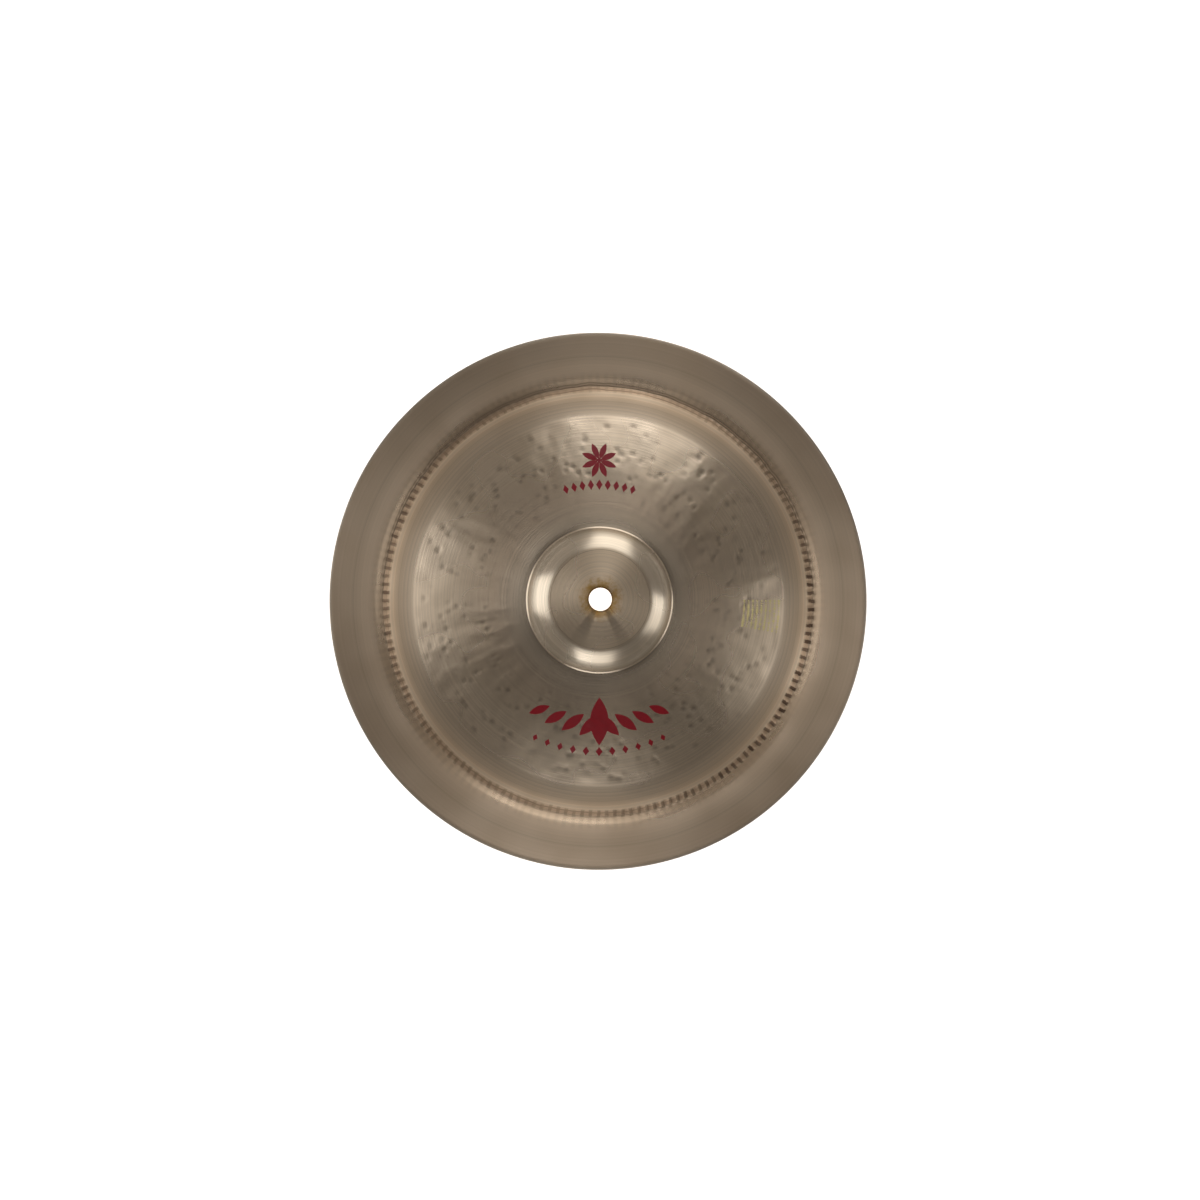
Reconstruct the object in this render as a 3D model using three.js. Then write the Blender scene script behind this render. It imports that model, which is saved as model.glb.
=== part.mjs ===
// China cymbal, 12 inch: one disc of bronze, pressed, hammered and lathed.
// Millimetres, +Z up through the bell. The disc lies bell up on the underside of its groove, which is z = 0,
// and the centre hole is on the Z axis.

import * as THREE from 'three';

// Driving sizes of the disc, in millimetres
const discDiameter = 304.8;
const holeDiameter = 13;

// Bell: a flat seat round the hole, a low crown, a rounded shoulder, a steep wall, a tight foot and an apron
const seatWidth = 4.5;
const crownBendWidth = 2;
const shoulderDiameter = 56;
const shoulderWidth = 1.8;
const bellDiameter = 81;
const bellFootWidth = 1.2;
const apronWidth = 3.3;

// Edge, measured inwards from the rim: flange, groove with its two walls, ridge and plain band
const flangeWidth = 18.4;
const flangeBendWidth = 5.6;
const flangeFootWidth = 2.6;
const outerWallWidth = 3.4;
const foldWidth = 0.8;
const innerWallWidth = 2.2;
const lipWidth = 1.1;
const ridgeWidth = 4.8;
const plainBandWidth = 6;
const bandBendWidth = 2.9;

// Wall thickness, turned down on the lathe from the bell to the rim
const bellWall = 1;
const rimWall = 0.65;

// Crimps that the hammer leaves where the sheet is folded up into the flange
const crimpPitch = 4.66;
const crimpDepth = 0.2;

// Slope of the top face in degrees at the outer edge of each zone, positive where the face falls outwards
const crownBendSlope = 4;
const crownSlope = 7.5;
const shoulderSlope = 19;
const bellWallSlope = 52.1;
const bellFootSlope = 12;
const bowTopSlope = 4.5;
const bowEdgeSlope = 14.5;
const bandInnerSlope = 9.5;
const bandSlope = 5;
const ridgeSlope = 15;
const innerWallSlope = 42;
const foldSlope = -15;
const outerWallSlope = -19;
const flangeFootSlope = -9;
const flangeBendSlope = -6.5;
const rimSlope = -13;

// Radii where one zone of the profile ends and the next begins
const rimRadius = discDiameter / 2;
const holeRadius = holeDiameter / 2;
const seatRadius = holeRadius + seatWidth;
const shoulderRadius = shoulderDiameter / 2;
const bellRadius = bellDiameter / 2;
const bellFootRadius = bellRadius + bellFootWidth;
const apronRadius = bellFootRadius + apronWidth;
const flangeBendRadius = rimRadius - flangeWidth;
const flangeFootRadius = flangeBendRadius - flangeBendWidth;
const outerWallRadius = flangeFootRadius - flangeFootWidth;
const foldRadius = outerWallRadius - outerWallWidth;
const innerWallRadius = foldRadius - foldWidth;
const lipRadius = innerWallRadius - innerWallWidth;
const ridgeRadius = lipRadius - lipWidth;
const bandRadius = ridgeRadius - ridgeWidth;
const bandBendRadius = bandRadius - plainBandWidth;
const bowRadius = bandBendRadius - bandBendWidth;

// Sectors round the disc: two for each crimp in the groove, half as many beside it, fewer in the bow and bell
const crimpsInFour = Math.round((2 * Math.PI * foldRadius) / (4 * crimpPitch));
const crimpCount = 4 * crimpsInFour;
const grooveSectors = 2 * crimpCount;
const plainSectors = crimpCount;
const bellSectors = crimpCount / 2;
const holeSectors = crimpCount / 4;

// Each zone is an arc, or a straight cone where its two slopes are equal, so the face has no kink anywhere
const zones = [
  { outer: seatRadius, slope: 0, steps: 1, sectors: holeSectors },
  { outer: seatRadius + crownBendWidth, slope: crownBendSlope, steps: 1, sectors: holeSectors },
  { outer: shoulderRadius, slope: crownSlope, steps: 1, sectors: bellSectors },
  { outer: shoulderRadius + shoulderWidth, slope: shoulderSlope, steps: 1, sectors: bellSectors },
  { outer: bellRadius, slope: bellWallSlope, steps: 3, sectors: bellSectors },
  { outer: bellFootRadius, slope: bellFootSlope, steps: 1, sectors: bellSectors },
  { outer: apronRadius, slope: bowTopSlope, steps: 1, sectors: bellSectors },
  { outer: bowRadius, slope: bowEdgeSlope, steps: 3, sectors: bellSectors },
  { outer: bandBendRadius, slope: bandInnerSlope, steps: 1, sectors: bellSectors },
  { outer: bandRadius, slope: bandSlope, steps: 1, sectors: bellSectors },
  { outer: ridgeRadius, slope: ridgeSlope, steps: 1, sectors: plainSectors },
  { outer: lipRadius, slope: innerWallSlope, steps: 1, sectors: grooveSectors },
  { outer: innerWallRadius, slope: innerWallSlope, steps: 1, sectors: grooveSectors },
  { outer: foldRadius, slope: foldSlope, steps: 1, sectors: grooveSectors },
  { outer: outerWallRadius, slope: outerWallSlope, steps: 1, sectors: plainSectors },
  { outer: flangeFootRadius, slope: flangeFootSlope, steps: 1, sectors: plainSectors },
  { outer: flangeBendRadius, slope: flangeBendSlope, steps: 1, sectors: plainSectors },
  { outer: rimRadius - rimWall / 2, slope: rimSlope, steps: 2, sectors: plainSectors },
];

// Height of an arc's point below its start, for a radius and a slope that changes evenly in its sine
function dropAlongArc(run, startSlope, slope) {
  if (startSlope === slope) {
    return run * Math.tan(slope);
  }
  const arcRadius = run / (Math.sin(slope) - Math.sin(startSlope));
  return arcRadius * (Math.cos(startSlope) - Math.cos(slope));
}

// Points of the top face's profile from the hole to the rim, each with its slope in radians
function topProfile() {
  const points = [{ radius: holeRadius, height: 0, slope: 0, sectors: holeSectors }];
  let inner = holeRadius;
  let innerSlope = 0;
  let innerHeight = 0;
  for (const zone of zones) {
    const outerSlope = THREE.MathUtils.degToRad(zone.slope);
    for (let step = 1; step <= zone.steps; step += 1) {
      const share = step / zone.steps;
      const radius = THREE.MathUtils.lerp(inner, zone.outer, share);
      const sine = THREE.MathUtils.lerp(Math.sin(innerSlope), Math.sin(outerSlope), share);
      const slope = Math.asin(sine);
      const height = innerHeight - dropAlongArc(radius - inner, innerSlope, slope);
      points.push({ radius, height, slope, sectors: zone.sectors });
    }
    inner = zone.outer;
    innerSlope = outerSlope;
    innerHeight = points[points.length - 1].height;
  }
  return points;
}

// Wall thickness at a radius: full in the bell, then thinner all the way to the rim
function wallAt(radius) {
  const share = THREE.MathUtils.clamp((radius - bellRadius) / (rimRadius - bellRadius), 0, 1);
  return THREE.MathUtils.lerp(bellWall, rimWall, share);
}

// How far the crimps lift and sink the sheet at a radius: most in the middle of the groove's inner wall,
// nothing inside the lip and nothing on the outer wall
function crimpAt(radius) {
  const middle = (lipRadius + innerWallRadius) / 2;
  const reach = middle - ridgeRadius;
  const share = THREE.MathUtils.clamp(Math.abs(radius - middle) / reach, 0, 1);
  return crimpDepth * Math.cos((share * Math.PI) / 2);
}

// Rings of the whole closed section: the top face outwards, the half-round rim, the underside inwards
function sectionRings() {
  const top = topProfile();
  const under = top.map((point) => {
    const wall = wallAt(point.radius);
    return {
      radius: point.radius - wall * Math.sin(point.slope),
      height: point.height - wall * Math.cos(point.slope),
      slope: point.slope,
      sectors: point.sectors,
    };
  });
  const edge = top[top.length - 1];
  const rim = {
    radius: rimRadius,
    height: edge.height - (rimWall / 2) * Math.cos(edge.slope),
    slope: edge.slope,
    sectors: edge.sectors,
  };
  under[0].radius = holeRadius;
  return [...top, rim, ...under.reverse()];
}

// Vertices of one ring, crimped where the ring lies in the groove
function ringPoints(ring, lift) {
  const points = [];
  const crimp = crimpAt(ring.radius);
  for (let sector = 0; sector < ring.sectors; sector += 1) {
    const angle = (2 * Math.PI * sector) / ring.sectors;
    const wave = ring.sectors === grooveSectors ? crimp * Math.cos(crimpCount * angle) : 0;
    points.push([ring.radius * Math.cos(angle), ring.radius * Math.sin(angle), ring.height + lift + wave]);
  }
  return points;
}

// Triangles between two rings; the finer ring has as many points as the other, or twice as many
function stripFaces(first, second) {
  const faces = [];
  const coarse = Math.min(first.sectors, second.sectors);
  const firstStep = first.sectors / coarse;
  const secondStep = second.sectors / coarse;
  const at = (ring, index) => ring.start + (index % ring.sectors);
  for (let sector = 0; sector < coarse; sector += 1) {
    const a = at(first, sector * firstStep);
    const b = at(first, (sector + 1) * firstStep);
    const c = at(second, sector * secondStep);
    const d = at(second, (sector + 1) * secondStep);
    if (secondStep === 2) {
      const middle = at(second, sector * secondStep + 1);
      faces.push([a, c, middle], [a, middle, b], [b, middle, d]);
    } else if (firstStep === 2) {
      const middle = at(first, sector * firstStep + 1);
      faces.push([a, c, middle], [middle, c, d], [middle, d, b]);
    } else {
      faces.push([a, c, d], [a, d, b]);
    }
  }
  return faces;
}

// The closed disc: rings joined in a loop through the hole's wall
function cymbalGeometry() {
  const rings = sectionRings();
  const lowest = Math.min(...rings.map((ring) => ring.height - crimpAt(ring.radius)));
  const positions = [];
  for (const ring of rings) {
    ring.start = positions.length / 3;
    positions.push(...ringPoints(ring, -lowest).flat());
  }
  const faces = rings.flatMap((ring, index) => stripFaces(ring, rings[(index + 1) % rings.length]));
  const geometry = new THREE.BufferGeometry();
  geometry.setAttribute('position', new THREE.Float32BufferAttribute(positions, 3));
  geometry.setIndex(faces.flat());
  geometry.computeVertexNormals();
  return geometry;
}

// Cast tin bronze, lathed and left raw: dull brownish gold with a soft metallic sheen
const bronze = new THREE.MeshStandardMaterial({ color: 0x9c8b71, metalness: 1, roughness: 0.38 });

const cymbal = new THREE.Mesh(cymbalGeometry(), bronze);
cymbal.name = 'cymbal';

const chinaCymbal = new THREE.Group();
chinaCymbal.add(cymbal);

export default chinaCymbal;
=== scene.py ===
"""A 12 inch china cymbal lying bell up: hammered and lathed bronze with a screen-printed ornament."""
import math

import bmesh
import bpy
from bpy.props import FloatProperty, FloatVectorProperty, IntProperty, PointerProperty
from mathutils import Matrix, Vector


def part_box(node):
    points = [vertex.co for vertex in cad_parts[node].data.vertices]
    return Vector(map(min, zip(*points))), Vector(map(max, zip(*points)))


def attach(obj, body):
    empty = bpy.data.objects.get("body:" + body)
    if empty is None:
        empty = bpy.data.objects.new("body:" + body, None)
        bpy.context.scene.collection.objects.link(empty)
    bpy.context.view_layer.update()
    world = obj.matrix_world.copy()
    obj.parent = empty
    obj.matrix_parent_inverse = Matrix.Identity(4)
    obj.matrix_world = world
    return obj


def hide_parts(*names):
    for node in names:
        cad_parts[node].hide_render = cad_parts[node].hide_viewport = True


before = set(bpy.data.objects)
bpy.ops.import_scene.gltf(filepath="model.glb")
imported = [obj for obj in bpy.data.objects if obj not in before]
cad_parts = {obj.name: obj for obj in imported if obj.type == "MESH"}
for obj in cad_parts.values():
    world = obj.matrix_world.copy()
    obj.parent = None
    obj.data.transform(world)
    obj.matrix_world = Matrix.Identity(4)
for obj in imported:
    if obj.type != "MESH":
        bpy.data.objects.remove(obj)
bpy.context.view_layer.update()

bl_info = {
    "name": "China Cymbal",
    "version": (1, 0, 0),
    "blender": (4, 5, 0),
    "location": "View3D > Sidebar > Cymbal",
    "description": "Turns, hammers, crimps and prints a china cymbal",
    "category": "Add Mesh",
}

MM = 0.001
DISC_LOW, DISC_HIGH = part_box("cymbal")
RIM_DIAMETER = DISC_HIGH.x - DISC_LOW.x
SEAT_HEIGHT = DISC_HIGH.z

# Kinds of node that the trees use again and again
MATH = "ShaderNodeMath"
VECTOR_MATH = "ShaderNodeVectorMath"
RANGE = "ShaderNodeMapRange"
NOISE = "ShaderNodeTexNoise"
MIX = "ShaderNodeMix"
SPLIT = "ShaderNodeSeparateXYZ"
COMBINE = "ShaderNodeCombineXYZ"


def linear(hex_colour):
    """An sRGB hex colour as Blender's linear red, green, blue and alpha."""
    channels = [int(hex_colour[i : i + 2], 16) / 255 for i in (1, 3, 5)]
    return tuple(c / 12.92 if c <= 0.04045 else ((c + 0.055) / 1.055) ** 2.4 for c in channels) + (1.0,)


def add_node(tree, kind, inputs=(), **settings):
    """Adds a node with its settings and links.

    Inputs go by name, or as a tuple in the order in which the node shows them. Each is a value, a socket,
    or a node, whose first shown output is linked."""
    node = tree.nodes.new(kind)
    for name, value in settings.items():
        setattr(node, name, value)
    shown = [socket for socket in node.inputs if socket.enabled]
    if isinstance(inputs, dict):
        sockets = {socket.name: socket for socket in reversed(shown)}
        pairs = [(sockets[name], value) for name, value in inputs.items()]
    else:
        pairs = zip(shown, inputs)
    for socket, value in pairs:
        if isinstance(value, bpy.types.Node):
            value = next(output for output in value.outputs if output.enabled)
        if isinstance(value, bpy.types.NodeSocket):
            tree.links.new(value, socket)
        else:
            socket.default_value = value
    return node


def length(label, description, millimetres):
    """A setting that holds a length, given here in millimetres."""
    return FloatProperty(name=label, description=description, default=millimetres * MM, unit="LENGTH")


def angle(label, description, degrees):
    """A setting that holds an angle in degrees. A slope is positive where the face falls outwards."""
    return FloatProperty(name=label, description=description, default=math.radians(degrees), subtype="ANGLE")


def amount(label, description, value):
    """A setting that holds a plain number."""
    return FloatProperty(name=label, description=description, default=value)


def tint(label, description, hex_colour):
    """A setting that holds a colour, given here as an sRGB hex value."""
    return FloatVectorProperty(
        name=label, description=description, default=linear(hex_colour), size=4, subtype="COLOR"
    )


class CymbalDiscSettings(bpy.types.PropertyGroup):
    """The pressed and turned disc, before it is hammered."""

    rim_diameter: length("Rim", "Across the rim", RIM_DIAMETER / MM)
    hole_diameter: length("Hole", "Across the centre hole", 13)
    hole_edge: length("Hole edge", "Rounding of the hole's edges", 0.2)
    seat_width: length("Seat", "Flat ring round the hole", 4.5)
    crown_bend: length("Crown bend", "Bend from the seat to the crown", 2)
    shoulder_diameter: length("Bell top", "Across the bell's top", 56)
    shoulder_width: length("Bell shoulder", "Rounded edge of the bell's top", 1.8)
    bell_diameter: length("Bell", "Across the bell's wall", 81)
    bell_foot: length("Bell foot", "Tight bend at the foot of the bell", 1.2)
    apron_width: length("Apron", "Easy bend from the bell's foot to the bow", 3.3)
    flange_width: length("Flange", "Outer part of the upturned flange", 18.4)
    flange_bend: length("Flange bend", "Inner part of the flange, easing off", 5.6)
    flange_foot: length("Flange foot", "Bend from the groove to the flange", 2.6)
    outer_wall: length("Outer wall", "Outer wall of the groove", 3.4)
    fold: length("Fold", "Tight fold at the bottom of the groove", 0.8)
    inner_wall: length("Inner wall", "Inner wall of the groove", 2.2)
    lip: length("Lip", "Tight bend over the edge of the ridge", 1.1)
    ridge: length("Ridge", "Rounded shoulder of the ridge", 4.8)
    band: length("Plain band", "Unhammered band inside the ridge", 6)
    band_bend: length("Band bend", "Bend from the bow to the plain band", 2.9)
    bell_wall: length("Bell thickness", "Thickness of the sheet in the bell", 1)
    rim_wall: length("Rim thickness", "Thickness of the sheet at the rim", 0.65)
    crown_start_slope: angle("Crown start slope", "Slope of the crown at the seat", 4)
    crown_slope: angle("Crown slope", "Slope of the crown at the shoulder", 7.5)
    shoulder_slope: angle("Shoulder slope", "Slope outside the shoulder", 19)
    wall_slope: angle("Bell wall slope", "Slope of the bell's wall at its foot", 52.1)
    foot_slope: angle("Bell foot slope", "Slope outside the bell's foot", 12)
    bow_slope: angle("Bow slope", "Slope of the bow at the apron", 4.5)
    bow_edge_slope: angle("Bow edge slope", "Slope of the bow at its edge", 14.5)
    band_start_slope: angle("Band start slope", "Slope of the plain band at the bow", 9.5)
    band_slope: angle("Band slope", "Slope of the plain band at the ridge", 5)
    ridge_slope: angle("Ridge slope", "Slope of the ridge at its lip", 15)
    groove_slope: angle("Groove slope", "Slope of the groove's inner wall", 42)
    fold_slope: angle("Fold slope", "Slope of the outer wall at the fold", -15)
    outer_wall_slope: angle("Outer wall slope", "Slope where the outer wall ends", -19)
    flange_foot_slope: angle("Flange foot slope", "Slope where the flange's foot ends", -9)
    flange_slope: angle("Flange slope", "Slope where the flange's bend ends", -6.5)
    rim_slope: angle("Rim slope", "Slope at the rim", -13)


class CymbalHammerSettings(bpy.types.PropertyGroup):
    """What the hammer does to the disc: crimps in the ridge and marks all over the bow."""

    crimp_count: IntProperty(name="Crimps", description="Round the ridge, a multiple of four", default=164)
    crimp_depth: length("Crimp depth", "Half height of a crimp", 0.14)
    mark_spacing: length("Mark spacing", "Between two hammer marks", 6.2)
    mark_depth: length("Mark depth", "Depth of the deepest mark", 0.15)
    wave_across: length("Wave width", "Width of the broad uneven patches, round the disc", 14)
    wave_along: length("Wave length", "Length of the patches, from the bell to the edge", 24)
    wave_depth: length("Wave depth", "Height of the patches", 0.65)
    seed: amount("Seed", "Picks where the marks fall", 3.7)


class CymbalColourSettings(bpy.types.PropertyGroup):
    """Colours of the bronze, of what lies on it and of the ink."""

    bronze: tint("Bronze", "Bare bronze", "#F4DCC0")
    patina: tint("Patina", "Bronze where it has dulled", "#E4CCB0")
    tarnish: tint("Tarnish", "Golden brown stain round the hole", "#C49656")
    # Oxide in the crimps' hollows; the same colour is laid down as painted shade in the bends, the hammer
    # dents, the crimps' shadows and the bell's dark wedges
    oxide_and_shade: tint("Oxide", "Dark oxide left in crimps and corners", "#4E392C")
    ink: tint("Ink", "Printed ink", "#8A0A16")
    stamp: tint("Stamped marks", "Bright metal of the stamp", "#DEC98C")
    edge: tint("Edge", "What bronze keeps of light that only grazes it", "#B49C80")


class CymbalFinishSettings(bpy.types.PropertyGroup):
    """Lathe rings, patches, stain, oxide and dark lines on the bronze."""

    coarse_pass: length("Coarse passes", "Between two passes of the lathe tool", 1.3)
    fine_feed: length("Fine feed", "Between two turns of the tool in one pass", 0.6)
    ring_depth: length("Ring depth", "Depth of the lathe rings", 0.035)
    ring_stray: length("Ring stray", "How far a ring strays from its circle", 0.5)
    stray_size: length("Stray size", "From one stray of the rings to the next", 45.45)
    patch_size: length("Patch size", "From one dull patch to the next", 33.33)
    stain_full: length("Stain", "Radius that the full stain round the hole reaches at the most", 13)
    stain_edge: length("Stain edge", "Radius that the stain's edge reaches at the most", 22)
    stain_stray: length("Stain stray", "How far the stain draws back from there", 14)
    stain_grain: length("Stain grain", "Size of the stain's speckles", 3.846)
    # Bend size and reach move the dark lines by the groove in and out
    bend_size: length("Bend size", "From one bend of a dirt line to the next", 14.286)
    bend_reach: length("Bend reach", "How far a dirt line bends, in and out together", 2.4)
    tear_size: length("Tear size", "Grain of the torn oxide in a crimp", 1.6667)
    oxide_shift: length("Oxide shift", "How far inwards of its row a crimp's oxide may lie", 1)
    ink_grain: length("Ink grain", "Size of the uneven spots in the ink", 2.381)
    stamp_grain: length("Stamp grain", "Size of the uneven spots in the stamped metal", 1.1111)


class CymbalPrintSettings(bpy.types.PropertyGroup):
    """The ornament's ink and the stamped field of dashes."""

    ink_film: length("Ink film", "Height of the ink, more than real, to clear the hammering", 0.16)
    stamp_film: length("Stamp film", "Height of the stamped dashes", 0.04)
    stamp_rows: IntProperty(name="Stamp rows", description="Rows of dashes, one outside the other", default=9)
    row_dashes: IntProperty(name="Dashes", description="Dashes in a row", default=13)
    row_radius: length("Row radius", "Radius of the innermost row", 82.3)
    row_pitch: length("Row pitch", "Between two rows", 2.5)
    dash_length: length("Dash length", "Length of a dash", 1.24)
    dash_width: length("Dash width", "Width of a dash", 1.2)
    stamp_azimuth: angle("Stamp azimuth", "Where the middle of the field lies", -5)
    dash_step: angle("Dash step", "Angle from one dash to the next", 0.82)
    dash_lean: angle("Dash lean", "How far the dashes on each side of the middle one lean", 35)
    dash_jitter: amount("Dash jitter", "How unevenly the dashes are struck", 0.9)


class CymbalStageSettings(bpy.types.PropertyGroup):
    """Camera, lights and floor."""

    frame_width: length("Frame width", "Width of the picture at the rim", 680)
    camera_distance: length("Camera distance", "From the rim", 2500)
    tilt: angle("Camera tilt", "How far the camera leans off the bell's axis", 3.3)
    tilt_azimuth: angle("Tilt azimuth", "Where the camera leans to", 222)
    aim: FloatVectorProperty(
        name="Aim",
        description="Point that the camera looks at",
        default=(0.69 * MM, 0.38 * MM, 6.0 * MM),
        subtype="XYZ",
    )
    softbox_distance: length("Softbox distance", "From the disc", 2000)
    softbox_radiance: amount("Softbox radiance", "Brightness of the softboxes", 1.08)
    overhead: amount("Overhead", "Brightness of the studio overhead", 0.07)
    middle: amount("Middle", "Brightness of the studio half way up", 0.24)
    horizon: amount("Horizon", "Brightness of the studio at the horizon", 0.19)
    one_sided: amount("One sided", "How much brighter the studio is at the back and at the left", 0.06)
    backdrop: amount("Backdrop", "Brightness of the wall behind, as seen", 1.05)
    floor_width: length("Floor width", "Along one side of the floor", 12000)


def zone_radii(size):
    """Radius where each zone of the profile ends, from the seat out to the rim."""
    radii = {"seat": size.hole_diameter / 2 + size.seat_width}
    radii["crown_bend"] = radii["seat"] + size.crown_bend
    radii["crown"] = size.shoulder_diameter / 2
    radii["shoulder"] = radii["crown"] + size.shoulder_width
    radii["bell"] = size.bell_diameter / 2
    radii["foot"] = radii["bell"] + size.bell_foot
    radii["apron"] = radii["foot"] + size.apron_width
    radii["rim"] = size.rim_diameter / 2
    inwards = (
        ("flange_bend", size.flange_width),
        ("flange_foot", size.flange_bend),
        ("outer_wall", size.flange_foot),
        ("fold", size.outer_wall),
        ("inner_wall", size.fold),
        ("lip", size.inner_wall),
        ("ridge", size.lip),
        ("band", size.ridge),
        ("band_bend", size.band),
        ("bow", size.band_bend),
    )
    radius = radii["rim"]
    for name, width in inwards:
        radius -= width
        radii[name] = radius
    return radii


def zone_table(size):
    """Zones of the profile: outer radius, slope there, steps and sectors on top, and underneath."""
    points_per_crimp = 8
    most = points_per_crimp * bpy.context.scene.cymbal_hammer.crimp_count
    many, some, few = most // 2, most // 4, most // 8
    radii = zone_radii(size)
    third = radii["apron"] + (radii["bow"] - radii["apron"]) / 3
    sines = math.sin(size.bow_slope), math.sin(size.bow_edge_slope)
    third_slope = math.asin(sines[0] + (sines[1] - sines[0]) / 3)
    return [
        (radii["seat"], 0.0, 2, few, 2, few),
        (radii["crown_bend"], size.crown_start_slope, 2, few, 2, few),
        (radii["crown"], size.crown_slope, 8, some, 3, some),
        (radii["shoulder"], size.shoulder_slope, 5, some, 2, some),
        (radii["bell"], size.wall_slope, 9, some, 5, some),
        (radii["foot"], size.foot_slope, 4, some, 3, some),
        (radii["apron"], size.bow_slope, 4, some, 2, some),
        (third, third_slope, 10, some, 4, some),
        (radii["bow"], size.bow_edge_slope, 34, many, 12, some),
        (radii["band_bend"], size.band_start_slope, 3, many, 2, some),
        (radii["band"], size.band_slope, 3, many, 2, some),
        (radii["ridge"], size.ridge_slope, 4, many, 3, many),
        (radii["lip"], size.groove_slope, 3, most, 2, many),
        (radii["inner_wall"], size.groove_slope, 3, most, 2, many),
        (radii["fold"], size.fold_slope, 4, most, 3, many),
        (radii["outer_wall"], size.outer_wall_slope, 3, most, 2, many),
        (radii["flange_foot"], size.flange_foot_slope, 4, many, 3, many),
        (radii["flange_bend"], size.flange_slope, 4, many, 2, some),
        (radii["rim"] - size.rim_wall / 2, size.rim_slope, 7, many, 4, some),
    ]


def arc_points(inner, inner_slope, outer, outer_slope, steps):
    """Radius, drop and slope at even steps along an arc, or a straight cone where the slopes are equal."""
    points = []
    for step in range(1, steps + 1):
        share = step / steps
        sine = math.sin(inner_slope) + (math.sin(outer_slope) - math.sin(inner_slope)) * share
        slope = math.asin(sine)
        radius = inner + (outer - inner) * share
        if inner_slope == outer_slope:
            drop = (radius - inner) * math.tan(slope)
        else:
            arc_radius = (outer - inner) / (math.sin(outer_slope) - math.sin(inner_slope))
            drop = arc_radius * (math.cos(inner_slope) - math.cos(slope))
        points.append((radius, drop, slope))
    return points


def face_profile(size, underneath):
    """Rings of the top face as radius, height, slope and sectors, or the same at the underside's steps."""
    radius = size.hole_diameter / 2 + size.hole_edge
    slope = 0.0
    height = SEAT_HEIGHT
    sectors = zone_table(size)[0][3]
    rings = [(radius, height, slope, sectors)]
    for outer, outer_slope, *counts in zone_table(size):
        steps, sectors = counts[2:] if underneath else counts[:2]
        for ring_radius, drop, ring_slope in arc_points(radius, slope, outer, outer_slope, steps):
            rings.append((ring_radius, height - drop, ring_slope, sectors))
        radius, height, slope, _ = rings[-1]
    return rings


def wall_at(size, radius):
    """Thickness of the sheet at a radius: full in the bell, then turned thinner all the way to the rim."""
    bell = size.bell_diameter / 2
    share = min(max((radius - bell) / (size.rim_diameter / 2 - bell), 0), 1)
    return size.bell_wall + (size.rim_wall - size.bell_wall) * share


def section_rings(size):
    """Rings of the closed section: top face outwards, rounded rim, underside inwards, rounded hole."""
    top = face_profile(size, underneath=False)
    rings = [(radius, height, sectors) for radius, height, _, sectors in top]
    edge_radius, edge_height, edge_slope, edge_sectors = top[-1]
    half = size.rim_wall / 2
    rim_steps = 5
    for step in range(1, rim_steps):
        turn = math.pi * step / rim_steps - edge_slope
        radius = edge_radius + half * math.sin(turn)
        height = edge_height - half + half * math.cos(turn)
        rings.append((radius, height, edge_sectors))
    for radius, height, slope, sectors in reversed(face_profile(size, underneath=True)):
        wall = wall_at(size, radius)
        rings.append((radius - wall * math.sin(slope), height - wall * math.cos(slope), sectors))
    edge = size.hole_edge
    edge_radius = size.hole_diameter / 2 + edge
    hole_sectors = top[0][3]
    edge_steps = 3
    lower, upper = SEAT_HEIGHT - size.bell_wall + edge, SEAT_HEIGHT - edge
    for centre_height, start, first in ((lower, math.pi, 1), (upper, math.pi * 1.5, 0)):
        for step in range(first, first + edge_steps):
            turn = start + math.pi / 2 * step / edge_steps
            radius = edge_radius + edge * math.sin(turn)
            rings.append((radius, centre_height + edge * math.cos(turn), hole_sectors))
    return rings


def sector_points(start, count, coarse, sector):
    """Numbers of a ring's points along one sector of the coarser ring, both its ends included."""
    share = count // coarse
    return [start + (sector * share + step) % count for step in range(share + 1)]


def strip_faces(first, second):
    """Faces between two rings, each a first point and a count, one at most twice the other."""
    faces = []
    coarse = min(first[1], second[1])
    for sector in range(coarse):
        inner = sector_points(*first, coarse, sector)
        outer = sector_points(*second, coarse, sector)
        if len(inner) == len(outer):
            faces.append((inner[0], outer[0], outer[1], inner[1]))
        elif len(outer) > len(inner):
            faces.append((inner[0], outer[0], outer[1]))
            faces.append((inner[0], outer[1], inner[1]))
            faces.append((inner[1], outer[1], outer[2]))
        else:
            faces.append((inner[0], outer[0], inner[1]))
            faces.append((inner[1], outer[0], outer[1]))
            faces.append((inner[1], outer[1], inner[2]))
    return faces


def turned_blank(name, size):
    """The plain pressed disc: rings of points round the closed section, joined into a closed mesh."""
    points, rings, faces = [], [], []
    for radius, height, sectors in section_rings(size):
        rings.append((len(points), sectors))
        angles = (2 * math.pi * sector / sectors for sector in range(sectors))
        points += [(radius * math.cos(angle), radius * math.sin(angle), height) for angle in angles]
    for ring, following in zip(rings, rings[1:] + rings[:1]):
        faces += strip_faces(ring, following)
    mesh = bpy.data.meshes.new(name)
    mesh.from_pydata(points, [], faces)
    mesh.update()
    return mesh


def away_from_axis(tree, place):
    """Adds the level part of a place, as seen from the axis, and its direction alone."""
    level = add_node(tree, VECTOR_MATH, (place, (1, 1, 0)), operation="MULTIPLY")
    return level, add_node(tree, VECTOR_MATH, (level,), operation="NORMALIZE")


def polar(tree, place):
    """Adds the distance from the axis, the turn round it and the level direction away from it."""
    level, outwards = away_from_axis(tree, place)
    radius = add_node(tree, VECTOR_MATH, (level,), operation="LENGTH")
    split = add_node(tree, SPLIT, (place,))
    turn = add_node(tree, MATH, (split.outputs["Y"], split.outputs["X"]), operation="ARCTAN2")
    return radius, turn, outwards


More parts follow.
